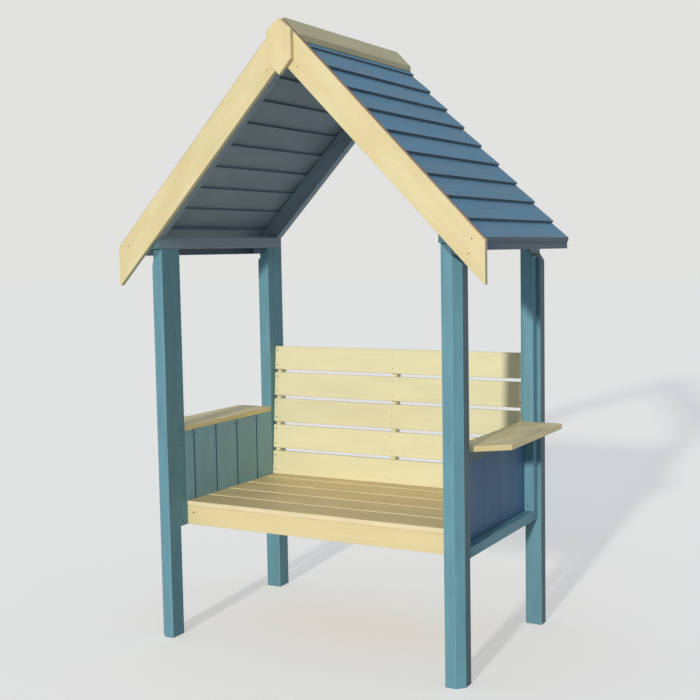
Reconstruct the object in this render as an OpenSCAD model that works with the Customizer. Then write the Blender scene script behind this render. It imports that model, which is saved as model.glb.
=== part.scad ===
// Arbour seat: a two-seat garden bench inside an open timber frame, with tongued and
// grooved side panels, a raked slatted back and a steep gable roof of lapped boards.
// The front faces -Y, the feet stand at z = 0, and the origin is on the ground under
// the middle of the whole seat.

/* [Frame] */
// Width across the outer faces of the posts
frame_w = 1115; // [900:5:1500]
// Depth from the front face of the front posts to the back face of the back posts
frame_d = 730; // [650:5:900]
// Height of the posts at their inner faces, where the sloping tops are highest
post_h = 1303; // [1180:1:1480]
// Width of a post, along X
post_w = 58; // [50:1:80]
// Depth of a post, along Y
post_d = 62; // [50:1:80]
// Flat planed off the outer corner of a post, along each face
post_chamfer = 23; // [5:1:35]

/* [Side panels] */
// Width of a stile, along X
stile_w = 44; // [30:1:48]
// Depth of a stile, along Y
stile_d = 34; // [25:1:50]
// Thickness of the tongued and grooved boards
board_t = 11; // [9:1:18]
// Face width of a whole board
board_w = 128; // [115:1:140]
// Face width of the first board, behind the front stile
first_board_w = 51; // [30:1:100]
// Depth of the V joint between two boards
v_depth = 3; // [1:0.5:5]
// Height of a panel rail
rail_h = 32; // [25:1:60]
// Height of the armrest's top face
arm_top = 705; // [640:1:780]
// Thickness of an armrest
arm_t = 17; // [14:1:30]
// Overhang of an armrest beyond the outer face of the posts
arm_over = 88; // [40:1:130]
// Set back of the outer front corner of an armrest
arm_slant = 79; // [10:1:100]
// Radius of the outer back corner of an armrest
arm_corner_r = 12; // [4:1:25]

/* [Seat] */
// Height of the seat's top face
seat_h = 450; // [400:1:480]
// Thickness of a seat slat
seat_t = 18; // [15:1:28]
// Width of the last seat slat, in front of the back
seat_last_w = 53; // [35:1:110]
// Gap between seat slats
seat_gap = 5.5; // [2:0.5:10]
// Distance of the seat's front edge behind the front posts
seat_inset = 35; // [10:1:60]
// Height of the apron under the front slat
apron_h = 63; // [50:1:75]
// Thickness of the apron
apron_t = 20; // [15:1:30]
// Set back of the apron from the seat's front edge
apron_set = 3; // [0:1:10]
// Height of the bearers under the slats
bearer_h = 44; // [30:1:60]
// Thickness of the bearers and of the back rail
bearer_t = 34; // [28:1:45]

/* [Back] */
// Height of the top edge of the back
back_top = 932; // [850:1:1000]
// Rake of the back from upright, in degrees
back_rake = 4.6; // [2:0.1:8]
// Distance of the back's foot behind the front faces of the back posts, or in front if negative
back_set = -34; // [-40:1:10]
// Gap between back slats
back_gap = 11; // [5:0.5:25]
// Thickness of a back slat
back_t = 18; // [12:1:22]
// Width of an upright batten behind the back slats
batten_w = 18; // [15:1:60]
// Thickness of an upright batten behind the back slats
batten_t = 34; // [15:1:36]
// Distance of a batten's top end below the top edge of the back
batten_short = 12; // [2:1:30]

/* [Roof] */
// Pitch of the roof, in degrees
roof_pitch = 46; // [43:0.5:49]
// Overhang of the roof boards beyond the posts at each side
roof_over = 74.5; // [50:0.5:110]
// Overhang of the roof boards beyond the front posts
front_over = 14; // [10:1:60]
// Overhang of the roof boards beyond the back posts
back_over = 6; // [0:1:60]
// Thickness of a roof board
roof_board_t = 11; // [8:1:13]
// Exposed length of a roof board, along the slope
course = 92; // [84:1:96]
// Exposed length of the lowest roof board, along the slope
eave_course = 95; // [60:1:100]
// Length by which a roof board laps over the one below
roof_lap = 16; // [8:1:30]
// Width of an eaves plate, along X
plate_w = 34; // [25:1:45]
// Height of an eaves plate
plate_h = 38; // [30:1:60]
// Depth of a rafter, square to the slope
rafter_h = 59; // [45:1:70]
// Thickness of a rafter, along Y
rafter_t = 34; // [20:1:50]
// Thickness of the eaves board under the lowest roof board
eaves_t = 18; // [12:1:25]
// Height of the eaves board's outer face
eaves_h = 26; // [20:1:40]
// Distance of the eaves board behind the ends of the roof boards
eaves_set = 4; // [2:1:10]
// Width of a bargeboard, square to its edge
barge_w = 91; // [75:1:110]
// Thickness of a bargeboard
barge_t = 18; // [12:1:25]
// Rise of a bargeboard's top edge above the roof boards
barge_rise = 7; // [4:1:20]
// Reach of a bargeboard beyond the eave
barge_over = 18; // [5:1:40]
// Width of a ridge board, along the slope
ridge_w = 78; // [60:1:88]
// Thickness of a ridge board
ridge_t = 14; // [10:1:20]
// Width of the six-sided plate at the peak
peak_w = 86; // [70:1:120]
// Height of the six-sided plate at the peak
peak_h = 168; // [140:1:200]
// Thickness of the six-sided plate at the peak
peak_t = 18; // [10:1:24]
// Height of the two sloping top edges of the peak plate
peak_top_h = 34; // [20:1:50]
// Height of the two sloping bottom edges of the peak plate
peak_point_h = 46; // [20:1:60]
// Distance of the peak plate's top below the top of the bargeboards
peak_drop = 5; // [0:1:20]

/* [Hidden] */
end_gap = 0.3;                             // play at the ends of slats, apron and rail
cut_past = 1;                              // reach of a cutting shape past the piece it cuts
half_w = frame_w / 2;
half_d = frame_d / 2;
inner_x = half_w - post_w;                 // inner faces of the posts and of the boards
board_x1 = inner_x + board_t;              // outer face of the boards
stile_x1 = inner_x + stile_w;              // outer face of the stiles and panel rails
panel_y = half_d - post_d;                 // inner faces of the posts, along Y
stile_y = panel_y - stile_d;               // inner faces of the stiles, along Y
arm_under = arm_top - arm_t;
seat_y0 = -panel_y + seat_inset;           // front edge of the seat
seat_y1 = panel_y + min(0, back_set);      // rear edge of the seat
seat_under = seat_h - seat_t;
panel_z = seat_under - apron_h;            // bottom edge of the side panels, level with the apron's
plate_x1 = inner_x + plate_w;              // outer face of an eaves plate
slat_count = 5;                            // slats of the seat, and of the back
seat_slat_w = (seat_y1 - seat_y0 - seat_last_w) / (slat_count - 1) - seat_gap;

// Roof geometry on the right side. The plates lie on the posts, the rafters are notched
// over the plates, and the underside of the roof boards runs from the peak (0, roof_z)
// down to the eave at x = eave_x.
slope = tan(roof_pitch);
rafter_drop = rafter_h / cos(roof_pitch);  // upright depth of a rafter
roof_z = post_h + plate_h + rafter_drop + inner_x * slope;
function rafter_under(x) = roof_z - rafter_drop - x * slope;
roof_y0 = -half_d - front_over;
roof_y1 = half_d + back_over;
eave_x = half_w + roof_over;
slope_len = eave_x / cos(roof_pitch);
course_count = floor((slope_len - eave_course - roof_lap) / course);
first_course = slope_len - eave_course - course_count * course;
board_lean = asin(roof_board_t / (course + roof_lap));  // lean of a board on the board below

// Lowest roof board: its upper edge, and its underside over the eaves board.
last_s = slope_len - eave_course - roof_lap;
function last_under(x) = roof_z - last_s * sin(roof_pitch)
    - (x - last_s * cos(roof_pitch)) * tan(roof_pitch - board_lean);
eaves_x = eave_x - eaves_set;              // outer face of an eaves board
eaves_z = last_under(eaves_x) - eaves_h;   // bottom edge of an eaves board

// Top of the bargeboards at the middle; the lapped boards stand two thicknesses high.
barge_z = roof_z + (2 * roof_board_t + barge_rise) / cos(roof_pitch);

// Back geometry, along the rake from the seat's top face.
back_foot_y = panel_y + back_set;
back_len = (back_top - seat_h) / cos(back_rake);
back_slat_w = (back_len + back_gap) / slat_count - back_gap;

// The pieces are set out from the middle of the posts. The middle of the whole seat,
// from the peak plate's face to the rearmost of the roof and the battens, lies mid_y
// in front of it.
batten_y = back_foot_y + (back_t + batten_t) * cos(back_rake)
    + (back_len - batten_short) * sin(back_rake);
mid_y = -(roof_y0 - barge_t - peak_t + max(roof_y1, batten_y)) / 2;

// Sets out its children from the middle of the posts, as a mirror image on the left
// side when side is -1.
module set_out(side = 1) {
    translate([0, mid_y, 0]) mirror([side < 0 ? 1 : 0, 0, 0]) children();
}

// Turns a front piece into the matching back piece when end is 1.
module at_end(end) {
    mirror([0, end > 0 ? 1 : 0, 0]) children();
}

// A flat outline in X and Z, carried from y0 to y1.
module along_y(y0, y1) {
    translate([0, y1, 0]) rotate([90, 0, 0]) linear_extrude(y1 - y0) children();
}

// Everything under the line of the sloping tops of the posts and stiles, from y0 to y1.
module under_plate(y0, y1) {
    along_y(y0, y1) polygon([
        [inner_x - cut_past, 0], [half_w + cut_past, 0],
        [half_w + cut_past, post_h - (post_w + cut_past) * slope],
        [inner_x - cut_past, post_h + cut_past * slope]]);
}

// Corner post, drawn at the front right: its outer corner is planed off, and its
// top is cut to the slope of the roof.
module post(side, end) {
    color("steelblue") set_out(side) at_end(end) intersection() {
        linear_extrude(post_h) polygon([
            [inner_x, -half_d], [half_w - post_chamfer, -half_d],
            [half_w, -half_d + post_chamfer], [half_w, -panel_y], [inner_x, -panel_y]]);
        under_plate(-half_d - cut_past, -panel_y + cut_past);
    }
}

// Upright of a side panel, against a post and flush with its inner face, up to the
// eaves plate.
module stile(side, end) {
    color("steelblue") set_out(side) at_end(end) intersection() {
        translate([inner_x, -panel_y, panel_z]) cube([stile_w, stile_d, post_h - panel_z]);
        under_plate(-panel_y - cut_past, -stile_y + cut_past);
    }
}

// Rail of a side panel between the stiles and behind the boards, with its lower edge
// at height z.
module panel_rail(side, z) {
    color("steelblue") set_out(side)
        translate([board_x1, -stile_y, z]) cube([stile_x1 - board_x1, 2 * stile_y, rail_h]);
}

// Upright tongued and grooved boards between the stiles, with a V joint between
// neighbours, inside.
module side_panel(side) {
    joints = [for (y = [-stile_y + first_board_w : board_w : stile_y - v_depth]) y];
    v_points = [for (y = joints) for (p = [-1, 0, 1])
        [inner_x + (p == 0 ? v_depth : 0), y + p * v_depth]];
    color("cadetblue") set_out(side) translate([0, 0, panel_z])
        linear_extrude(arm_under - panel_z) polygon(concat(
            [[board_x1, stile_y], [board_x1, -stile_y], [inner_x, -stile_y]],
            v_points, [[inner_x, stile_y]]));
}

// Armrest: a flat board on the panel's top, between the stiles, with a slanted front
// end and a rounded outer back corner.
module armrest(side) {
    outer_x = half_w + arm_over;
    color("wheat") set_out(side) translate([0, 0, arm_under]) linear_extrude(arm_t) union() {
        polygon([[inner_x, -stile_y], [stile_x1, -stile_y], [outer_x, -stile_y + arm_slant],
            [outer_x, stile_y - arm_corner_r], [outer_x - arm_corner_r, stile_y],
            [inner_x, stile_y]]);
        translate([outer_x - arm_corner_r, stile_y - arm_corner_r]) circle(arm_corner_r, $fn = 32);
    }
}

// Eaves plate on the posts and stiles, from the bargeboard back, with its inner face flush
// with theirs. Each end has a foot, let into its lower half, that fits their sloping tops.
module eaves_plate(side) {
    color("steelblue") set_out(side) {
        along_y(roof_y0, half_d) translate([inner_x, post_h]) square([plate_w, plate_h]);
        for (end = [-1, 1]) at_end(end) along_y(-half_d, -stile_y) polygon([
            [inner_x, post_h], [plate_x1, post_h - plate_w * slope],
            [plate_x1, post_h + plate_h / 2], [inner_x, post_h + plate_h / 2]]);
    }
}

// Rafter under the roof boards, from the peak to the eaves board, notched over the eaves
// plate, with its tail cut level.
module rafter(side, end) {
    y0 = end < 0 ? roof_y0 : roof_y1 - rafter_t;
    tail_x = eaves_x - eaves_t;
    color("steelblue") set_out(side) along_y(y0, y0 + rafter_t) polygon([
        [0, roof_z], [0, rafter_under(0)], [inner_x, rafter_under(inner_x)],
        [plate_x1, post_h + plate_h], [plate_x1, rafter_under(plate_x1)],
        [(rafter_under(0) - eaves_z) / slope, eaves_z], [tail_x, eaves_z],
        [tail_x, roof_z - tail_x * slope]]);
}

// Eaves board: an upright board under the lowest roof board, across the rafters' tails.
module eaves_board(side) {
    color("slategray") set_out(side) along_y(roof_y0, roof_y1) polygon([
        [eaves_x - eaves_t, last_under(eaves_x - eaves_t)], [eaves_x - eaves_t, eaves_z],
        [eaves_x, eaves_z], [eaves_x, last_under(eaves_x)]]);
}

// One slope of lapped boards. Each board lies on the board below at its lower edge,
// and its upper edge touches the rafters.
module roof_slope(side) {
    lower_edges = concat([for (i = [0:course_count]) first_course + i * course], [slope_len]);
    color("cadetblue") set_out(side) along_y(roof_y0, roof_y1) intersection() {
        union() for (i = [0:len(lower_edges) - 1]) {
            upper = i == 0 ? 0 : lower_edges[i - 1] - roof_lap;
            translate([0, roof_z]) rotate(-roof_pitch) translate([upper, 0])
                rotate(board_lean) square([lower_edges[i] - upper, roof_board_t]);
        }
        polygon([[0, 0], [0, 2 * roof_z], [eave_x, 2 * roof_z], [eave_x, 0]]);
    }
}

// Ridge cap: two boards that meet over the peak. Their lower edges lie on the top
// faces of the highest roof boards.
module ridge_cap() {
    rise = (ridge_w * tan(board_lean) + roof_board_t / cos(board_lean))
        / (cos(roof_pitch) + sin(roof_pitch) * tan(board_lean));
    up = ridge_t / cos(roof_pitch);
    run = ridge_w * cos(roof_pitch);
    color("wheat") set_out() along_y(roof_y0, roof_y1) polygon([
        [0, roof_z + rise], [run, roof_z + rise - run * slope],
        [run, roof_z + rise + up - run * slope], [0, roof_z + rise + up],
        [-run, roof_z + rise + up - run * slope], [-run, roof_z + rise - run * slope]]);
}

// Bargeboard on the front ends of the roof boards and rafters, cut upright at its foot.
module bargeboard(side) {
    drop = barge_w / cos(roof_pitch);
    tip_x = eave_x + barge_over;
    color("wheat") set_out(side) along_y(roof_y0 - barge_t, roof_y0) polygon([
        [0, barge_z], [0, barge_z - drop], [tip_x, barge_z - drop - tip_x * slope],
        [tip_x, barge_z - tip_x * slope]]);
}

// Six-sided plate over the joint of the bargeboards.
module peak_plate() {
    top = barge_z - peak_drop;
    color("wheat") set_out() along_y(roof_y0 - barge_t - peak_t, roof_y0 - barge_t) polygon([
        [0, top], [peak_w / 2, top - peak_top_h], [peak_w / 2, top - peak_h + peak_point_h],
        [0, top - peak_h], [-peak_w / 2, top - peak_h + peak_point_h],
        [-peak_w / 2, top - peak_top_h]]);
}

// Seat slat number i, counted from the front, between the side panels. The last one is
// ripped down to the space left in front of the back.
module seat_slat(i) {
    y0 = seat_y0 + (i - 1) * (seat_slat_w + seat_gap);
    color("wheat") set_out() translate([-inner_x + end_gap, y0, seat_under])
        cube([2 * (inner_x - end_gap), min(seat_slat_w, seat_y1 - y0), seat_t]);
}

// Apron under the front edge of the seat.
module seat_apron() {
    color("wheat") set_out()
        translate([-inner_x + end_gap, seat_y0 + apron_set, seat_under - apron_h])
            cube([2 * (inner_x - end_gap), apron_t, apron_h]);
}

// Bearers under the slats: one along each side panel and one in the middle.
module seat_bearers() {
    y0 = seat_y0 + apron_set + apron_t;
    color("burlywood") set_out() for (x = [-inner_x, -bearer_t / 2, inner_x - bearer_t])
        translate([x, y0, seat_under - bearer_h]) cube([bearer_t, panel_y - y0, bearer_h]);
}

// Rail between the back posts, behind the bearers; the raked back stands on it.
module seat_back_rail() {
    top = seat_h - (back_t + batten_t) * sin(back_rake);
    color("burlywood") set_out()
        translate([-inner_x + end_gap, panel_y, seat_under - bearer_h])
            cube([2 * (inner_x - end_gap), bearer_t, top - seat_under + bearer_h]);
}

// Places its children on the raked face of the back, with +Z up along the slats.
module on_back() {
    set_out() translate([0, back_foot_y, seat_h]) rotate([-back_rake, 0, 0]) children();
}

// Back slat number i, counted from the bottom.
module back_slat(i) {
    color("wheat") on_back()
        translate([-inner_x + end_gap, 0, (i - 1) * (back_slat_w + back_gap)])
            cube([2 * (inner_x - end_gap), back_t, back_slat_w]);
}

// Three upright battens behind the back slats: one against each post, one in the middle.
module back_battens() {
    color("wheat") on_back()
        for (x = [-inner_x + end_gap, -batten_w / 2, inner_x - end_gap - batten_w])
            translate([x, back_t, 0]) cube([batten_w, batten_t, back_len - batten_short]);
}

post(-1, -1);  // post_front_left
post(1, -1);  // post_front_right
post(-1, 1);  // post_back_left
post(1, 1);  // post_back_right
stile(-1, -1);  // stile_front_left
stile(1, -1);  // stile_front_right
stile(-1, 1);  // stile_back_left
stile(1, 1);  // stile_back_right
side_panel(-1);  // side_panel_left
side_panel(1);  // side_panel_right
panel_rail(-1, panel_z);  // panel_rail_left
panel_rail(1, panel_z);  // panel_rail_right
panel_rail(-1, arm_under - rail_h);  // arm_rail_left
panel_rail(1, arm_under - rail_h);  // arm_rail_right
armrest(-1);  // armrest_left
armrest(1);  // armrest_right
eaves_plate(-1);  // eaves_plate_left
eaves_plate(1);  // eaves_plate_right
eaves_board(-1);  // eaves_board_left
eaves_board(1);  // eaves_board_right
rafter(-1, -1);  // rafter_front_left
rafter(1, -1);  // rafter_front_right
rafter(-1, 1);  // rafter_back_left
rafter(1, 1);  // rafter_back_right
roof_slope(-1);  // roof_left
roof_slope(1);  // roof_right
ridge_cap();
bargeboard(-1);  // bargeboard_left
bargeboard(1);  // bargeboard_right
peak_plate();
seat_slat(1);  // seat_slat_1
seat_slat(2);  // seat_slat_2
seat_slat(3);  // seat_slat_3
seat_slat(4);  // seat_slat_4
seat_slat(5);  // seat_slat_5
seat_apron();
seat_bearers();
seat_back_rail();
back_slat(1);  // back_slat_1
back_slat(2);  // back_slat_2
back_slat(3);  // back_slat_3
back_slat(4);  // back_slat_4
back_slat(5);  // back_slat_5
back_battens();
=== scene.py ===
import bpy
import math
import numpy as np
from mathutils import Matrix, Vector


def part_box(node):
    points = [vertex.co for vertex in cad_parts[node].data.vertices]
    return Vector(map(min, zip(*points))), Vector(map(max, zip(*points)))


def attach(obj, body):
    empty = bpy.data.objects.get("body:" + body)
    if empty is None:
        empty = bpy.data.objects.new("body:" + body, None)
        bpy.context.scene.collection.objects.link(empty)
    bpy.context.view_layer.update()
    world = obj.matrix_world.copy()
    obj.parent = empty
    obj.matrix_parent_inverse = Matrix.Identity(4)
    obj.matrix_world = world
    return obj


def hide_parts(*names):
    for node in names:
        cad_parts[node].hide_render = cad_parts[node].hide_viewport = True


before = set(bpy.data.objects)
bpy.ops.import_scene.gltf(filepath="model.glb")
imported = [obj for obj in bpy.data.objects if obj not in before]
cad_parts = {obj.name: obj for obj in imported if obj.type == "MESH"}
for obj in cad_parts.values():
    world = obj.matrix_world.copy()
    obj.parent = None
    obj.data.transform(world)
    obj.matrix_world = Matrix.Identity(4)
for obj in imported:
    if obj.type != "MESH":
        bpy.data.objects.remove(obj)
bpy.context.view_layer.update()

# Corner posts: four planed softwood posts, painted blue-green. The outer corner of each is
# planed off in a broad chamfer, and the top is cut to the slope of the roof. They carry the
# eaves plates, and the side frames are nailed to them.
ROOF_PITCH = math.radians(46)
SLOPE = math.tan(ROOF_PITCH)
X_AXIS, Y_AXIS, Z_AXIS = np.eye(3)
UP_FROM_PLAN = (X_AXIS, Y_AXIS, Z_AXIS)
BACK_FROM_FRONT = (X_AXIS, Z_AXIS, Y_AXIS)
ALONG_FROM_SIDE = (Y_AXIS, Z_AXIS, X_AXIS)
# Painted shade and grime of a face, 0 to 1: at the middle level a face shows the paint's
# second colour, which mostly stands in for shade; at full it is near black, painted shade in
# joints and sunk nail holes.
CLEAN, SECOND_TONE, NEAR_BLACK = 0, 0.5, 1


def timber(outline, axes, start, length, grain, arris=0.002, steps=3, far_cut=(0, 0), seed=0.0,
           dirt=None):
    """One planed length: a section carried straight along its length, with round arrises.

    outline holds the section's corners, on the first two axes, and the third axis is the
    length. Each corner becomes an arc of radius arris about the point that lies arris inside
    both edges (outside them in an inner corner). The end rings are the same loop moved in by
    e * (1 - sin t) at a depth of e * (1 - cos t), for t from 0 to 90 degrees, with e a little
    less than arris. far_cut is the slope of the far end along the section's two axes. The last
    argument holds the painted shade and grime of each face, 0 to 1, in the order of the
    outline; it blends over an arris.
    """
    p = np.asarray(outline, float)
    after = np.roll(p, -1, 0)
    dirt = np.zeros(len(p)) if dirt is None else np.asarray(dirt, float)
    if np.sum(p[:, 0] * after[:, 1] - p[:, 1] * after[:, 0]) < 0:
        p = p[::-1]
        after = np.roll(p, -1, 0)
        dirt = np.roll(dirt[::-1], -1)
    edge = (after - p) / np.linalg.norm(after - p, axis=1)[:, None]
    out = np.stack([edge[:, 1], -edge[:, 0]], 1)
    out_before, edge_before = np.roll(out, 1, 0), np.roll(edge, 1, 0)
    turn = np.sign(edge_before[:, 0] * edge[:, 1] - edge_before[:, 1] * edge[:, 0])
    mitre = (out_before + out) / (1 + np.sum(out_before * out, 1))[:, None]
    t = np.linspace(0, 1, steps + 1)[None, :, None]
    normal = out_before[:, None] * (1 - t) + out[:, None] * t
    normal /= np.linalg.norm(normal, axis=2)[:, :, None]
    radius = (turn * arris)[:, None]
    loop = ((p - radius * mitre)[:, None] + radius[:, None] * normal).reshape(-1, 2)
    normal = normal.reshape(-1, 2)
    dirt = (np.roll(dirt, 1)[:, None] * (1 - t[0, :, 0]) + dirt[:, None] * t[0, :, 0]).ravel()

    e = 0.85 * arris
    a = np.linspace(0, math.pi / 2, steps + 1)
    inset = np.concatenate([e * (1 - np.sin(a)), e * (1 - np.sin(a[::-1]))])
    depth = np.concatenate([e * (1 - np.cos(a)), -e * (1 - np.cos(a[::-1]))])
    tilt = np.concatenate([-np.cos(a), np.cos(a[::-1])])
    rings, around = len(inset), len(loop)
    far = (np.arange(rings) >= rings // 2).astype(float)[:, None]
    flat = loop[None] - inset[:, None, None] * normal[None]
    along = depth[:, None] + far * (length + flat @ np.asarray(far_cut, float))
    ax, ay, az = (np.asarray(v, float) for v in axes)
    verts = (np.asarray(start, float) + flat[..., :1] * ax + flat[..., 1:] * ay
             + along[..., None] * az)
    end_way = az[None] - far * (far_cut[0] * ax + far_cut[1] * ay)[None]
    end_way /= np.linalg.norm(end_way, axis=1)[:, None]
    side = normal[:, :1] * ax + normal[:, 1:] * ay
    normals = (side[None] * np.sqrt(1 - tilt ** 2)[:, None, None]
               + (tilt[:, None] * end_way)[:, None])
    normals /= np.linalg.norm(normals, axis=2)[..., None]

    i = np.arange(rings * around).reshape(rings, around)
    nxt = np.roll(i, -1, 1)
    quads = np.stack([i[:-1], nxt[:-1], nxt[1:], i[1:]], -1).reshape(-1, 4)
    caps = [i[0][::-1], i[-1]]
    if np.dot(np.cross(ax, ay), az) < 0:
        quads, caps = quads[:, ::-1], [c[::-1] for c in caps]
    # Wear is full on the rounded ends, and along an arris it is sin(pi t) across the round.
    worn = np.ones((rings, around))
    across_arris = np.sin(np.linspace(0, math.pi, steps + 1))
    worn[rings // 2 - 1:rings // 2 + 1] = np.tile(across_arris, len(p))
    worn[0] = worn[-1] = 0.3
    return {"verts": verts.reshape(-1, 3), "normals": normals.reshape(-1, 3), "quads": quads,
            "caps": caps, "worn": worn.reshape(-1), "dirt": np.tile(dirt, rings),
            "grain": np.asarray(grain, float), "seed": seed}


def nails(at, out, grain, radius=0.0024, dirt=NEAR_BLACK, worn=0.0):
    """Heads of nails driven into a face: for each point, three rings of ten about the way out,
    at radius, radius and 0.7 radius. They lie 1 mm deep, a quarter and half a millimetre
    proud, and are closed at both ends. grain is any direction that lies in the face."""
    # By default the heads are near black: partly the dark nail and partly painted shade for a sunk
    # hole. Full wear paints them in the worn colour, as a painted glint.
    proud, corners = 0.0005, 10
    at = np.asarray(at, float).reshape(-1, 3)
    out, grain = (np.asarray(v, float) / np.linalg.norm(v) for v in (out, grain))
    across = np.cross(out, grain)
    a = np.linspace(0, 2 * math.pi, corners, endpoint=False)
    round_way = np.cos(a)[:, None] * grain + np.sin(a)[:, None] * across
    size, height = np.array([1, 1, 0.7]) * radius, np.array([-0.001, proud / 2, proud])
    ring = size[:, None, None] * round_way + height[:, None, None] * out
    verts = (at[:, None, None] + ring[None]).reshape(-1, 3)
    lift = np.array([0.0, 0.7, 0.97])
    normals = np.sqrt(1 - lift ** 2)[:, None, None] * round_way + lift[:, None, None] * out
    i = np.arange(len(verts)).reshape(-1, 3, corners)
    nxt = np.roll(i, 1, 2)
    quads = np.stack([i[:, 1:], nxt[:, 1:], nxt[:, :-1], i[:, :-1]], -1).reshape(-1, 4)
    caps = [c for k in range(len(at)) for c in (i[k, 0][::-1], i[k, 2])]
    return {"verts": verts, "normals": np.tile(normals.reshape(-1, 3), (len(at), 1)),
            "quads": quads, "caps": caps, "worn": np.full(len(verts), worn),
            "dirt": np.full(len(verts), dirt), "cap_dirt": dirt, "grain": grain, "seed": 0.5}


def grain_map(corners, face_normal, grain):
    """UV in metres, flat on each face: u along the grain, v across it. End grain takes any
    two directions of the face."""
    u = np.broadcast_to(grain, face_normal.shape).copy()
    end = np.abs(face_normal @ grain) > 0.6
    u[end] = np.cross(face_normal[end], grain[[1, 2, 0]] + 0.3)
    u -= np.sum(u * face_normal, 1)[:, None] * face_normal
    u /= np.linalg.norm(u, axis=1)[:, None]
    v = np.cross(face_normal, u)
    return np.stack([np.sum(corners * u[:, None], 2), np.sum(corners * v[:, None], 2)], -1), end


def joinery(node, lengths, finish):
    """Puts lengths of timber and nails into one mesh, which stands for the CAD node. The
    corner attribute "timber" holds wear (on roof nails a painted glint), end grain, the board's
    seed, and grime with painted shade."""
    verts, normals, faces, uv, facts, base = [], [], [], [], [], 0
    for part in lengths:
        for group in [part["quads"]] + [np.asarray(c)[None] for c in part["caps"]]:
            corners = part["verts"][group]
            # Twice the area vector of each face: the sum of cross products round its edge.
            n = np.sum(np.cross(corners, np.roll(corners, -1, 1)), 1)
            n /= np.maximum(np.linalg.norm(n, axis=1), 1e-12)[:, None]
            where, end = grain_map(corners, n, part["grain"])
            uv.append(where.reshape(-1, 2))
            fact = np.ones(group.shape + (4,))
            fact[..., 0] = part["worn"][group]
            fact[..., 1] = end[:, None]
            fact[..., 2] = part["seed"]
            is_side = group is part["quads"]
            fact[..., 3] = part["dirt"][group] if is_side else part.get("cap_dirt", CLEAN)
            facts.append(fact.reshape(-1, 4))
            faces.extend((group + base).tolist())
        verts.append(part["verts"])
        normals.append(part["normals"])
        base += len(part["verts"])
    name = node + "_timber"
    mesh = bpy.data.meshes.new(name)
    mesh.from_pydata(np.concatenate(verts).tolist(), [], faces)
    mesh.uv_layers.new(name="grain").uv.foreach_set("vector", np.concatenate(uv).ravel())
    mesh.attributes.new("timber", "FLOAT_COLOR", "CORNER").data.foreach_set(
        "color", np.concatenate(facts).ravel())
    mesh.shade_smooth()
    mesh.normals_split_custom_set_from_vertices(np.concatenate(normals).tolist())
    mesh.materials.append(finish)
    piece = bpy.data.objects.new(name, mesh)
    bpy.context.scene.collection.objects.link(piece)
    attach(piece, "root")
    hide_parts(node)


def linear(hex_colour, shade=1.0):
    """Linear RGBA of an sRGB hex value, times shade: c / 12.92 up to 0.04045, and
    ((c + 0.055) / 1.055) ** 2.4 above."""
    c = np.array([int(hex_colour[i:i + 2], 16) for i in (1, 3, 5)]) / 255
    c = np.where(c <= 0.04045, c / 12.92, ((c + 0.055) / 1.055) ** 2.4) * shade
    return (*c.tolist(), 1.0)


def add(tree, kind, inputs=(), **settings):
    """Adds a node with its settings. Each input is a socket's name with a value or a link."""
    node = tree.nodes.new("ShaderNode" + kind)
    for key, value in settings.items():
        setattr(node, key, value)
    for key, value in dict(inputs).items():
        if isinstance(value, bpy.types.NodeSocket):
            tree.links.new(value, node.inputs[key])
        else:
            node.inputs[key].default_value = value
    return node


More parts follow.
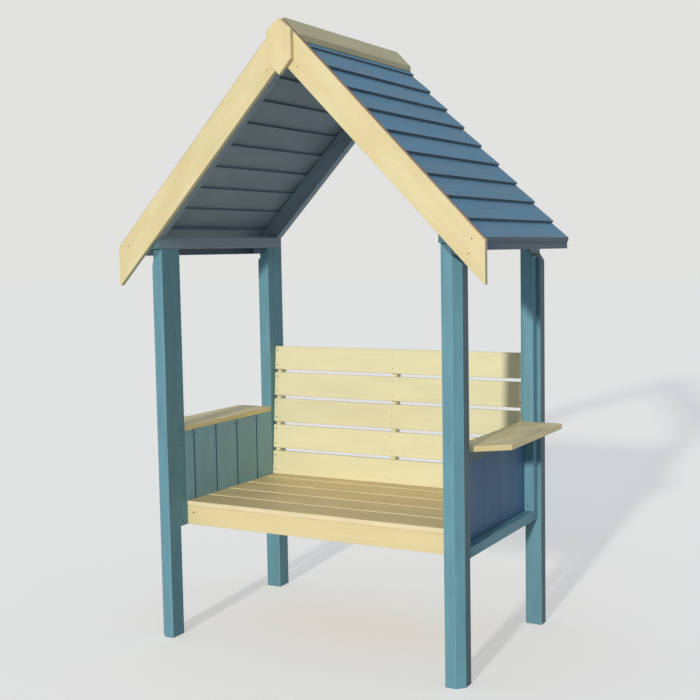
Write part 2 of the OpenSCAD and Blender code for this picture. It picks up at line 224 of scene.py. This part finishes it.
def painted_softwood(name, paint, worn, streaks=0.10, mottle=0.10, ends=0.55, rough=0.5,
                     raised=0.25, under=None):
    """Exterior paint brushed on planed softwood: the grain shows through as faint streaks,
    9 mm wide and 250 mm long, drawn coarser than the real 2 mm so that they show. Boards
    differ a little, arrises are rubbed thinner, and end grain soaks up more and dries darker.
    The paint's second colour, given as under, shows at the middle level of the shade and grime
    attribute, mostly as painted shade (on the seat's front, painted light); above it the colour
    goes near black, as painted shade in joints and laps and on nail holes. The cloudy wear is
    200 mm long and 60 mm wide."""
    m = bpy.data.materials.new(name)
    m.use_nodes = True
    tree = m.node_tree
    tree.nodes.clear()
    marks = add(tree, "Attribute", attribute_name="timber")
    facts = add(tree, "SeparateColor", {"Color": marks.outputs["Color"]})
    place = add(tree, "SeparateXYZ", {"Vector": add(tree, "UVMap", uv_map="grain").outputs["UV"]})
    u = add(tree, "Math", {0: place.outputs["X"], 1: 1 / 0.25}, operation="MULTIPLY")
    v = add(tree, "Math", {0: place.outputs["Y"], 1: 1 / 0.009}, operation="MULTIPLY")
    w = add(tree, "Math", {0: facts.outputs["Blue"], 1: 61.0}, operation="MULTIPLY")
    run = add(tree, "CombineXYZ", {"X": u.outputs[0], "Y": v.outputs[0], "Z": w.outputs[0]})
    streak = add(tree, "TexNoise", {"Vector": run.outputs[0], "Scale": 1.0, "Detail": 4.0,
                                    "Roughness": 0.6})
    wide_u = add(tree, "Math", {0: place.outputs["X"], 1: 5.0}, operation="MULTIPLY")
    wide_v = add(tree, "Math", {0: place.outputs["Y"], 1: 16.0}, operation="MULTIPLY")
    wide = add(tree, "CombineXYZ", {"X": wide_u.outputs[0], "Y": wide_v.outputs[0],
                                    "Z": w.outputs[0]})
    cloud = add(tree, "TexNoise", {"Vector": wide.outputs[0], "Scale": 1.0, "Detail": 3.0})
    base = add(tree, "Mix", {0: streak.outputs["Fac"], 6: linear(paint, 1 - streaks * 1.6),
                             7: linear(paint, 1 + streaks * 1.2)}, data_type="RGBA")
    colour = base.outputs[2]
    # The second colour: painted shade on most pieces, painted light on the seat's front.
    if under:
        second_tone_mix = add(tree, "MapRange", {"Value": marks.outputs["Alpha"],
                                           "From Max": SECOND_TONE})
        colour = add(tree, "Mix", {0: second_tone_mix.outputs[0], 6: colour, 7: linear(under)},
                     data_type="RGBA").outputs[2]
    board = add(tree, "MapRange", {"Value": facts.outputs["Blue"], "To Min": 0.96, "To Max": 1.04})
    cloudy = add(tree, "MapRange", {"Value": cloud.outputs["Fac"], "From Min": 0.3, "From Max": 0.7,
                                    "To Min": 1 - mottle, "To Max": 1 + mottle})
    level = add(tree, "Math", {0: board.outputs[0], 1: cloudy.outputs[0]}, operation="MULTIPLY")
    shaded = add(tree, "HueSaturation", {"Value": level.outputs[0], "Color": colour})
    rub = add(tree, "MapRange", {"Value": cloud.outputs["Fac"], "From Min": 0.42,
                                 "From Max": 0.62, "To Max": 0.6})
    # On roof nails, full wear here is a painted glint.
    rubbed = add(tree, "Math", {0: facts.outputs["Red"], 1: rub.outputs[0]}, operation="MULTIPLY")
    thin = add(tree, "Mix", {0: rubbed.outputs[0], 6: shaded.outputs["Color"], 7: linear(worn)},
               data_type="RGBA")
    soak = add(tree, "Mix", {0: facts.outputs["Green"], 6: thin.outputs[2], 7: linear(paint, ends)},
               data_type="RGBA")
    # From the middle level up the colour goes near black: painted shade in joints, laps and nail
    # holes.
    shade_and_grime_darkening = add(tree, "MapRange", {"Value": marks.outputs["Alpha"], "From Min": SECOND_TONE,
                                   "To Max": 0.9})
    dark = add(tree, "Mix", {0: shade_and_grime_darkening.outputs[0], 6: soak.outputs[2], 7: linear(paint, 0.08)},
               data_type="RGBA")
    gloss = add(tree, "MapRange", {"Value": cloud.outputs["Fac"], "From Min": 0.3, "From Max": 0.7,
                                   "To Min": rough - 0.06, "To Max": rough + 0.08})
    bump = add(tree, "Bump", {"Height": streak.outputs["Fac"], "Strength": raised,
                              "Distance": 0.0008})
    shader = add(tree, "BsdfPrincipled", {
        "Base Color": dark.outputs[2], "Roughness": gloss.outputs[0],
        "Normal": bump.outputs["Normal"], "IOR": 1.5, "Specular IOR Level": 0.35})
    add(tree, "OutputMaterial", {"Surface": shader.outputs["BSDF"]})
    return m


# Satin blue-green paint. Its second colour is painted shade: greyer on the eaves plates and
# rafters, for the shade under the roof, and darker on the posts' outer sides.
BLUE, BLUE_WORN = "#6698A8", "#93BBC8"
blue_paint = painted_softwood("blue_green_painted_softwood", BLUE, BLUE_WORN, under="#8A9DAC")
post_paint = painted_softwood("blue_green_painted_posts", BLUE, BLUE_WORN, under="#46656F")
POST_CHAMFER = 0.023
POST_ARRIS = 0.0025
for side_name, side in (("left", -1), ("right", 1)):
    for end_name, end in (("front", -1), ("back", 1)):
        node = f"post_{end_name}_{side_name}"
        lo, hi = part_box(node)
        inner, outer = sorted((lo.x, hi.x), key=abs)
        face, rear = (lo.y, hi.y) if end < 0 else (hi.y, lo.y)
        section = [(inner, face), (outer - side * POST_CHAMFER, face),
                   (outer, face - end * POST_CHAMFER), (outer, rear), (inner, rear)]
        # The top falls away from the inner face: hi.z - SLOPE * |x - inner|.
        top = hi.z + SLOPE * abs(inner)
        # The outer side face is painted darker, as painted shade, and the face at rear a touch
        # darker.
        joinery(node, [timber(
            section, UP_FROM_PLAN, (0, 0, 0), top, Z_AXIS, POST_ARRIS, far_cut=(-side * SLOPE, 0),
            seed=0.13 + 0.21 * (side + 1) + 0.3 * (end + 1) / 2,
            dirt=(CLEAN, CLEAN, SECOND_TONE, 0.1, CLEAN))], post_paint)

# Stiles and rails of the side panels: squared softwood painted blue-green. The stiles stand
# against the posts, up to the eaves plate; the rails run between them, behind the boards, and
# are nailed through the stiles.
STILE_ARRIS = 0.002
RAIL_MIDDLE = 0.016
NAIL_FROM_EDGE = 0.012
for side_name, side in (("left", -1), ("right", 1)):
    for end_name in ("front", "back"):
        node = f"stile_{end_name}_{side_name}"
        lo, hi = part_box(node)
        inner = min(abs(lo.x), abs(hi.x))
        foot_z = lo.z + RAIL_MIDDLE
        if end_name == "front":
            arm_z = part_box(f"arm_rail_{side_name}")[0].z + RAIL_MIDDLE
            heights = (arm_z + 0.025, arm_z - NAIL_FROM_EDGE, foot_z)
            fixed = nails([(side * inner, lo.y + NAIL_FROM_EDGE, z) for z in heights],
                          (-side, 0, 0), Z_AXIS, radius=0.003)
        else:
            fixed = nails([((lo.x + hi.x) / 2, lo.y, foot_z + 2 * RAIL_MIDDLE)],
                          -Y_AXIS, Z_AXIS, radius=0.0028)
        joinery(node, [fixed, timber(
            [(lo.x, lo.y), (hi.x, lo.y), (hi.x, hi.y), (lo.x, hi.y)], UP_FROM_PLAN,
            (0, 0, lo.z), hi.z - lo.z + SLOPE * inner, Z_AXIS, STILE_ARRIS,
            far_cut=(-side * SLOPE, 0),
            seed=0.31 + 0.2 * side + (0.1 if end_name == "back" else 0))],
            blue_paint)
    for kind in ("panel_rail", "arm_rail"):
        node = f"{kind}_{side_name}"
        lo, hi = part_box(node)
        # Under the armrest, the underside and the outer face are painted darker, as painted shade.
        left, right = (SECOND_TONE, CLEAN) if side < 0 else (CLEAN, SECOND_TONE)
        joinery(node, [timber(
            [(lo.x, lo.z), (hi.x, lo.z), (hi.x, hi.z), (lo.x, hi.z)], BACK_FROM_FRONT,
            (0, lo.y, 0), hi.y - lo.y, Y_AXIS, STILE_ARRIS, seed=0.52 + 0.2 * side,
            dirt=(SECOND_TONE, right, CLEAN, left) if kind == "arm_rail" else None)],
            post_paint)

# Side boards: upright tongued and grooved boards with a V joint between neighbours on the
# inside, nailed to the rails. Their inside faces are painted a lighter blue-green and their
# outside faces, under the armrests, a deeper blue, as painted light and shade; the V joints
# and the gaps are painted dark, as painted shade.
FIRST_BOARD = 0.051
BOARD_WIDTH = 0.128
V_DEPTH = 0.0030
V_GROOVE_SHADE = 0.55
JOINT_GAP = 0.0006
BOARD_EASE = 0.0005
board_paint = painted_softwood("blue_green_painted_boards", "#86B4C6", "#A6C8D4", streaks=0.08,
                               mottle=0.07, under="#487096")
for side_name, side in (("left", -1), ("right", 1)):
    node = f"side_panel_{side_name}"
    lo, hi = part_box(node)
    inner, outer = sorted((lo.x, hi.x), key=abs)
    joints = np.arange(lo.y + FIRST_BOARD, hi.y - V_DEPTH, BOARD_WIDTH)
    edges = np.concatenate([[lo.y], joints, [hi.y]])
    boards = []
    for k in range(len(edges) - 1):
        # The first and the last board have a plain edge against the stiles.
        front, back = float(k > 0), float(k < len(edges) - 2)
        y0, y1 = edges[k] + JOINT_GAP / 2 * front, edges[k + 1] - JOINT_GAP / 2 * back
        v0, v1 = V_DEPTH * front + BOARD_EASE, V_DEPTH * back + BOARD_EASE
        # Joint sides near black and V faces in the deeper blue: painted shade in the grooves.
        boards.append(timber(
            [(outer, y0), (inner + side * v0, y0), (inner, y0 + v0), (inner, y1 - v1),
             (inner + side * v1, y1), (outer, y1)],
            UP_FROM_PLAN, (0, 0, lo.z), hi.z - lo.z, Z_AXIS, 0.0004, steps=2,
            seed=(0.17 + 0.37 * k + 0.2 * side) % 1,
            dirt=(NEAR_BLACK, V_GROOVE_SHADE * front, CLEAN, V_GROOVE_SHADE * back, NEAR_BLACK, SECOND_TONE)))
    # A nail each side of every joint, at the top and at the foot, into the rails.
    nailed = [(inner, y + d, z) for y in joints for d in (-NAIL_FROM_EDGE, NAIL_FROM_EDGE)
              for z in (hi.z - 0.014, lo.z + RAIL_MIDDLE)]
    boards.append(nails(nailed, (-side, 0, 0), Z_AXIS, radius=0.003))
    joinery(node, boards, board_paint)

# Armrests: one flat cream board each, laid on the side panel between its stiles. The front
# end is cut on the slant and the outer back corner is rounded. Arms and weather have worn the
# cream paint, so the grain shows in brownish streaks.
ARM_SLANT = 0.079
ARM_CORNER = 0.012
arm_paint = painted_softwood("weathered_cream_armrest_paint", "#F4E0A8", "#FBF3D8",
                             streaks=0.30, mottle=0.14, ends=0.8, rough=0.5)
for side_name, side in (("left", -1), ("right", 1)):
    node = f"armrest_{side_name}"
    lo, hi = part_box(node)
    inner, outer = sorted((lo.x, hi.x), key=abs)
    stile_out = max((v.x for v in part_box(f"stile_front_{side_name}")), key=abs)
    turn = [(outer - side * ARM_CORNER * (1 - math.cos(a)), hi.y - ARM_CORNER * (1 - math.sin(a)))
            for a in np.radians([0, 22.5, 45, 67.5, 90])]
    joinery(node, [timber(
        [(inner, lo.y), (stile_out, lo.y), (outer, lo.y + ARM_SLANT)] + turn + [(inner, hi.y)],
        UP_FROM_PLAN, (0, 0, lo.z), hi.z - lo.z, Y_AXIS, 0.0025, seed=0.45 + 0.3 * side)],
        arm_paint)

# Eaves plates: squared softwood from the front posts to the back posts, painted blue-green
# and sheltered by the roof. Under each end is a foot that fits the sloping tops of the post
# and the stile.
PLATE_HEIGHT = 0.038
for side_name, side in (("left", -1), ("right", 1)):
    node = f"eaves_plate_{side_name}"
    lo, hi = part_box(node)
    inner, outer = sorted((lo.x, hi.x), key=abs)
    bar_z = hi.z - PLATE_HEIGHT
    seed = 0.6 + 0.25 * side
    # Every face takes the greyer second colour, a painted shade tone for the shade under the roof.
    plate = [timber([(inner, bar_z), (outer, bar_z), (outer, hi.z), (inner, hi.z)],
                    BACK_FROM_FRONT, (0, lo.y, 0), hi.y - lo.y, Y_AXIS, 0.002, seed=seed,
                    dirt=[SECOND_TONE] * 4)]
    for end_name in ("front", "back"):
        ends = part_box(f"post_{end_name}_{side_name}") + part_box(f"stile_{end_name}_{side_name}")
        y0, y1 = min(v.y for v in ends), max(v.y for v in ends)
        plate.append(timber([(inner, bar_z), (outer, lo.z), (outer, bar_z)], BACK_FROM_FRONT,
                            (0, y0, 0), y1 - y0, Y_AXIS, 0.0003, steps=1, seed=seed,
                            dirt=[SECOND_TONE] * 3))
    joinery(node, plate, blue_paint)

# Rafters: a pair at the front and a pair at the back, of squared softwood painted blue-green,
# that meet at the peak, are notched over the eaves plates, and have their tails cut level.
RAFTER_DEPTH = 0.059
for side_name, side in (("left", -1), ("right", 1)):
    plate_lo, plate_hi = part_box(f"eaves_plate_{side_name}")
    plate_in, plate_out = sorted((abs(plate_lo.x), abs(plate_hi.x)))
    down_slope = (side * math.cos(ROOF_PITCH), 0, -math.sin(ROOF_PITCH))
    for end_name in ("front", "back"):
        node = f"rafter_{end_name}_{side_name}"
        lo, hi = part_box(node)
        under = hi.z - RAFTER_DEPTH / math.cos(ROOF_PITCH)
        tail = max(abs(lo.x), abs(hi.x))
        outline = [(0, hi.z), (0, under), (plate_in, under - plate_in * SLOPE),
                   (plate_out, plate_hi.z), (plate_out, under - plate_out * SLOPE),
                   ((under - lo.z) / SLOPE, lo.z), (tail, lo.z), (tail, hi.z - tail * SLOPE)]
        # Every face takes the greyer second colour, a painted shade tone for the shade under the
        # roof.
        rafter = timber(
            [(side * x, z) for x, z in outline], BACK_FROM_FRONT, (0, lo.y, 0), hi.y - lo.y,
            down_slope, 0.0015, seed=0.4 + 0.3 * side + (0.15 if end_name == "back" else 0),
            dirt=[SECOND_TONE] * 8)
        joinery(node, [dict(rafter, cap_dirt=SECOND_TONE)], blue_paint)

# Eaves boards: an upright board under the lowest roof board, nailed across the rafters' tails.
# Their paint is a dull slate grey, darker than the blue-green, partly as painted shade.
eaves_paint = painted_softwood("shaded_slate_eaves_paint", "#5F6E7E", "#7D8A93", streaks=0.12,
                               mottle=0.12, rough=0.6)
BOARD_T = 0.011
LAP = 0.016
COURSE = 0.092
EAVE_COURSE = 0.095
board_lean = math.asin(BOARD_T / (COURSE + LAP))
for side_name, side in (("left", -1), ("right", 1)):
    node = f"eaves_board_{side_name}"
    lo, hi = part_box(node)
    inner, outer = sorted((lo.x, hi.x), key=abs)
    bevel = math.tan(ROOF_PITCH - board_lean) * abs(outer - inner)
    joinery(node, [timber(
        [(inner, hi.z), (inner, lo.z), (outer, lo.z), (outer, hi.z - bevel)],
        BACK_FROM_FRONT, (0, lo.y, 0), hi.y - lo.y, Y_AXIS, 0.0015, seed=0.5 + 0.3 * side)],
        eaves_paint)

# Roof: lapped sawn boards, laid from the eave up and nailed to the rafters, each with its
# lower edge on the board below. The paint is a bluer coat with strong streaks. The undersides
# and upper ends are painted greyer and the lower edges dark, as painted shade, and the nail
# heads pale, as painted glints.
roof_paint = painted_softwood("steel_blue_painted_roof_boards", "#558CAD", "#9DC0D2",
                              streaks=0.2, mottle=0.14, ends=0.35, rough=0.55, raised=0.5,
                              under="#8295A1")
# The lower edge faces are painted dark, as the painted shade under each lap.
LAP_EDGE_SHADE = 0.85
for side_name, side in (("left", -1), ("right", 1)):
    node = f"roof_{side_name}"
    lo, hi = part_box(node)
    rafter_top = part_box(f"rafter_front_{side_name}")[1].z
    eave = max(abs(lo.x), abs(hi.x))
    run = eave / math.cos(ROOF_PITCH)
    count = math.floor((run - EAVE_COURSE - LAP) / COURSE)
    lower = np.append(run - EAVE_COURSE - COURSE * np.arange(count, -1, -1), run)
    upper = np.append(0.0, lower[:-1] - LAP)
    down = np.array([math.cos(ROOF_PITCH), -math.sin(ROOF_PITCH)])
    lean = ROOF_PITCH - board_lean
    board_down = np.array([math.cos(lean), -math.sin(lean)])
    board_out = np.array([math.sin(lean), math.cos(lean)])
    nail_rows = (lo.y + 0.017, lo.y + 0.20, hi.y - 0.20, hi.y - 0.017)
    boards = []
    for k, (s0, s1) in enumerate(zip(upper, lower)):
        head = np.array([0, rafter_top]) + s0 * down
        foot = head + (s1 - s0) * board_down
        corners = np.array([head, foot, foot + BOARD_T * board_out, head + BOARD_T * board_out])
        if k == 0:
            # The top board is cut upright at the peak.
            corners[3] = corners[2] - board_down * corners[2][0] / board_down[0]
        if k == len(lower) - 1:
            # The eave is cut upright at the full width of the roof.
            for c in (1, 2):
                corners[c] += board_down * (eave - corners[c][0]) / board_down[0]
        corners[:, 0] *= side
        nail_x, nail_z = corners[2] - NAIL_FROM_EDGE * board_down * (side, 1)
        # The nail heads are painted pale, as painted glints.
        boards.append(nails([(nail_x, y, nail_z) for y in nail_rows],
                            (side * board_out[0], 0, board_out[1]), Y_AXIS,
                            dirt=CLEAN, worn=1.0))
        boards.append(timber(corners, BACK_FROM_FRONT, (0, lo.y, 0), hi.y - lo.y, Y_AXIS, 0.0012,
                             seed=(0.11 + 0.29 * k + 0.17 * side) % 1,
                             dirt=(SECOND_TONE, LAP_EDGE_SHADE, CLEAN, SECOND_TONE)))
    joinery(node, boards, roof_paint)

# Ridge cap: two cream boards that meet in a mitre over the peak, on the highest roof boards.
# The mitre is left a hair open. The cream is painted greyer and darker, as painted shade.
RIDGE_T = 0.014
MITRE_GAP = 0.0002
ridge_paint = painted_softwood("shaded_cream_ridge_paint", "#CBC39B", "#E0D9B4",
                               streaks=0.1, mottle=0.1, ends=0.7, rough=0.55)
lo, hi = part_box("ridge_cap")
rise = RIDGE_T / math.cos(ROOF_PITCH)
joinery("ridge_cap", [timber(
    [(side * MITRE_GAP, hi.z - rise), (side * hi.x, lo.z), (side * hi.x, lo.z + rise),
     (side * MITRE_GAP, hi.z)],
    BACK_FROM_FRONT, (0, lo.y, 0), hi.y - lo.y, Y_AXIS, 0.0012, seed=0.3 + 0.25 * side)
    for side in (-1, 1)], ridge_paint)

# Bargeboards: cream boards over the front ends of the roof boards and rafters. They are
# mitred at the peak, under the peak plate, and cut upright at the foot. Their top edges are
# coloured brown.
BARGE_WIDTH = 0.091
warm_cream = painted_softwood("warm_cream_painted_softwood", "#E2D3A1", "#F3EACB",
                              streaks=0.05, mottle=0.025, ends=0.8, rough=0.45,
                              under="#94775C")
# Nails, as the distance from the middle and the share of the board's depth: one by the peak
# plate and two at the foot.
BARGE_NAILS = ((0.055, 0.72), (0.61, 0.3), (0.60, 0.7))
for side_name, side in (("left", -1), ("right", 1)):
    node = f"bargeboard_{side_name}"
    lo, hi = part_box(node)
    tip = side * max(abs(lo.x), abs(hi.x))
    mitre = side * MITRE_GAP
    drop = BARGE_WIDTH / math.cos(ROOF_PITCH)
    down_slope = (side * math.cos(ROOF_PITCH), 0, -math.sin(ROOF_PITCH))
    fixed = nails([(side * x, lo.y, hi.z - x * SLOPE - share * drop) for x, share in BARGE_NAILS],
                  -Y_AXIS, X_AXIS, radius=0.0022, dirt=0.8)
    joinery(node, [fixed, timber(
        [(mitre, hi.z), (mitre, hi.z - drop), (tip, lo.z), (tip, lo.z + drop)],
        BACK_FROM_FRONT, (0, lo.y, 0), hi.y - lo.y, down_slope, 0.0025, seed=0.35 + 0.3 * side,
        dirt=(CLEAN, CLEAN, CLEAN, SECOND_TONE))], warm_cream)

# Peak plate: a six-sided board in the same cream paint, nailed over the joint of the
# bargeboards from behind.
PEAK_TOP = 0.034
PEAK_POINT = 0.046
lo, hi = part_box("peak_plate")
joinery("peak_plate", [timber(
    [(0, hi.z), (hi.x, hi.z - PEAK_TOP), (hi.x, lo.z + PEAK_POINT), (0, lo.z),
     (lo.x, lo.z + PEAK_POINT), (lo.x, hi.z - PEAK_TOP)],
    BACK_FROM_FRONT, (0, lo.y, 0), hi.y - lo.y, Z_AXIS, 0.0025, seed=0.8)],
    warm_cream)

# Seat: five slats with well rounded arrises on three bearers. The last slat is ripped down to
# fit in front of the back. Their tops are a tan cream with streaks of grain; the front faces
# are painted a paler cream, as painted light.
seat_paint = painted_softwood("cream_painted_seat_slats", "#EBD199", "#F4E8C0", streaks=0.22,
                              mottle=0.07, ends=0.8, rough=0.45, under="#EBDDB4")
for k in range(1, 6):
    node = f"seat_slat_{k}"
    lo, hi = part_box(node)
    # The front face takes the paler second colour, as painted light.
    joinery(node, [timber(
        [(lo.y, lo.z), (hi.y, lo.z), (hi.y, hi.z), (lo.y, hi.z)], ALONG_FROM_SIDE,
        (lo.x, 0, 0), hi.x - lo.x, X_AXIS, 0.004, steps=4, seed=(0.23 * k) % 1,
        dirt=(CLEAN, CLEAN, CLEAN, SECOND_TONE))], seat_paint)

# Apron and back rail of the seat: cream boards on edge under the first and the last slat,
# with a nail at each end.
for node in ("seat_apron", "seat_back_rail"):
    lo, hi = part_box(node)
    nail_z = hi.z - 0.34 * (hi.z - lo.z)
    fixed = nails([(x, lo.y, nail_z) for x in (lo.x + 0.025, hi.x - 0.025)], -Y_AXIS, X_AXIS,
                  radius=0.003)
    joinery(node, [fixed, timber(
        [(lo.y, lo.z), (hi.y, lo.z), (hi.y, hi.z), (lo.y, hi.z)], ALONG_FROM_SIDE,
        (lo.x, 0, 0), hi.x - lo.x, X_AXIS, 0.002, seed=0.7)], warm_cream)

# Bearers: three squared softwood rails under the seat slats, from the apron to the back rail,
# in the cream paint of the back: satin, even, with only a hint of grain.
cream_paint = painted_softwood("cream_painted_softwood", "#E5DFB6", "#F4EFD2", streaks=0.05,
                               mottle=0.03, ends=0.8, rough=0.45)
BEARER_T = 0.034
lo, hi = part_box("seat_bearers")
joinery("seat_bearers", [timber(
    [(x, lo.z), (x + BEARER_T, lo.z), (x + BEARER_T, hi.z), (x, hi.z)], BACK_FROM_FRONT,
    (0, lo.y, 0), hi.y - lo.y, Y_AXIS, 0.002, seed=0.4 + x / 2)
    for x in (lo.x, -BEARER_T / 2, hi.x - BEARER_T)], cream_paint)

# Back: five cream slats nailed to three upright battens. The whole back leans, so each
# section is drawn along the rake.
BACK_RAKE = math.radians(4.6)
BACK_T = 0.018
BATTEN_T = 0.034
BATTEN_W = 0.018
rake_up = np.array([0, math.sin(BACK_RAKE), math.cos(BACK_RAKE)])
rake_back = np.array([0, math.cos(BACK_RAKE), -math.sin(BACK_RAKE)])
foot = np.array([0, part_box("back_slat_1")[0].y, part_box("seat_slat_1")[1].z])
for k in range(1, 6):
    node = f"back_slat_{k}"
    lo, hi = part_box(node)
    s0 = (lo.z + BACK_T * math.sin(BACK_RAKE) - foot[2]) / math.cos(BACK_RAKE)
    s1 = (hi.z - foot[2]) / math.cos(BACK_RAKE)
    # Two nails at each end, and two smaller ones in the middle.
    rows = [s0 + share * (s1 - s0) for share in (0.2, 0.82)]
    fixed = [nails([foot + x * X_AXIS + row * rake_up for row in rows for x in at],
                   -rake_back, X_AXIS, radius=radius)
             for at, radius in (((lo.x + 0.011, hi.x - 0.011), 0.0028), ((0,), 0.0018))]
    joinery(node, fixed + [timber(
        [(0, s0), (BACK_T, s0), (BACK_T, s1), (0, s1)], (rake_back, rake_up, X_AXIS),
        foot + lo.x * X_AXIS, hi.x - lo.x, X_AXIS, 0.003, steps=4, seed=(0.37 * k + 0.1) % 1)],
        cream_paint)
lo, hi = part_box("back_battens")
batten_top = (hi.z - foot[2] + BACK_T * math.sin(BACK_RAKE)) / math.cos(BACK_RAKE)
batten_back = BACK_T + BATTEN_T
joinery("back_battens", [timber(
    [(x, BACK_T), (x + BATTEN_W, BACK_T), (x + BATTEN_W, batten_back), (x, batten_back)],
    (X_AXIS, rake_back, rake_up), foot, batten_top, Z_AXIS, 0.002, seed=0.5 + x / 3)
    for x in (lo.x, -BATTEN_W / 2, hi.x - BATTEN_W)], cream_paint)

# Floor and backdrop: a plain pale floor that shows the seat's shadow. A faint glow, for the
# eye only, brings it near the tone of the wall behind.
floor_mesh = bpy.data.meshes.new("floor")
floor_mesh.from_pydata([(-40, -40, 0), (40, -40, 0), (40, 40, 0), (-40, 40, 0)], [], [(0, 1, 2, 3)])
floor = bpy.data.objects.new("floor", floor_mesh)
bpy.context.scene.collection.objects.link(floor)
pale = bpy.data.materials.new("plain_pale_floor")
pale.use_nodes = True
tree = pale.node_tree
tree.nodes.clear()
path = add(tree, "LightPath")
seen = add(tree, "Math", {0: path.outputs["Is Camera Ray"], 1: path.outputs["Is Glossy Ray"]},
           operation="MAXIMUM")
screed = add(tree, "BsdfDiffuse", {"Color": linear("#DFDEDA")})
glow = add(tree, "Emission", {"Color": linear("#EFEDE8"), "Strength": 0.42})
shown = add(tree, "AddShader", {0: screed.outputs[0], 1: glow.outputs[0]})
mixed = add(tree, "MixShader", {0: seen.outputs[0], 1: screed.outputs[0], 2: shown.outputs[0]})
add(tree, "OutputMaterial", {"Surface": mixed.outputs[0]})
floor_mesh.materials.append(pale)

# Light: one lamp in front, low and a little to the right, and a soft sky, which is brighter
# overhead and dimmer to the right.
world = bpy.data.worlds.new("soft_sky")
bpy.context.scene.world = world
world.use_nodes = True
tree = world.node_tree
tree.nodes.clear()
path = add(tree, "LightPath")
seen = add(tree, "Math", {0: path.outputs["Is Camera Ray"], 1: path.outputs["Is Glossy Ray"]},
           operation="MAXIMUM")
way = add(tree, "SeparateXYZ", {"Vector": add(tree, "TexCoord").outputs["Generated"]})
above = add(tree, "MapRange", {"Value": way.outputs["Z"], "To Min": 0.30, "To Max": 0.62})
aside = add(tree, "MapRange", {"Value": way.outputs["X"], "From Min": 0.2, "To Min": 1.0,
                               "To Max": 0.6})
level = add(tree, "Math", {0: above.outputs[0], 1: aside.outputs[0]}, operation="MULTIPLY")
sky = add(tree, "Background", {"Color": linear("#DDE9FA"), "Strength": level.outputs[0]})
wall = add(tree, "Background", {"Color": linear("#E2E2E0"), "Strength": 1.0})
mixed = add(tree, "MixShader", {0: seen.outputs[0], 1: sky.outputs[0], 2: wall.outputs[0]})
add(tree, "OutputWorld", {"Surface": mixed.outputs[0]})
lamp = bpy.data.lights.new("key_lamp", "SUN")
lamp.energy = 2.3
lamp.angle = math.radians(3)
lamp.color = linear("#FFF8EC")[:3]
key = bpy.data.objects.new("key_lamp", lamp)
LAMP_AZIMUTH, LAMP_HEIGHT = math.radians(6), math.radians(14)
towards = Vector((math.sin(LAMP_AZIMUTH) * math.cos(LAMP_HEIGHT),
                  -math.cos(LAMP_AZIMUTH) * math.cos(LAMP_HEIGHT), math.sin(LAMP_HEIGHT)))
key.rotation_euler = towards.to_track_quat("Z", "Y").to_euler()
bpy.context.scene.collection.objects.link(key)

# Camera: at chest height, in front of the seat and to its right, level with the roof's eaves
# and looking a little down.
CAMERA_AT = Vector((1.9021, -3.3944, 1.2831))
YAW, PITCH, ROLL = math.radians(29.165), math.radians(4.807), math.radians(-1.010)
camera = bpy.data.cameras.new("camera")
camera.sensor_width = 36
camera.lens = 60.18
camera.clip_end = 200
view = bpy.data.objects.new("camera", camera)
view.matrix_world = (Matrix.Translation(CAMERA_AT) @ Matrix.Rotation(YAW, 4, "Z")
                     @ Matrix.Rotation(math.pi / 2 - PITCH, 4, "X") @ Matrix.Rotation(ROLL, 4, "Z"))
bpy.context.scene.collection.objects.link(view)
bpy.context.scene.camera = view
bpy.context.scene.view_settings.view_transform = "Standard"

bpy.context.view_layer.update()
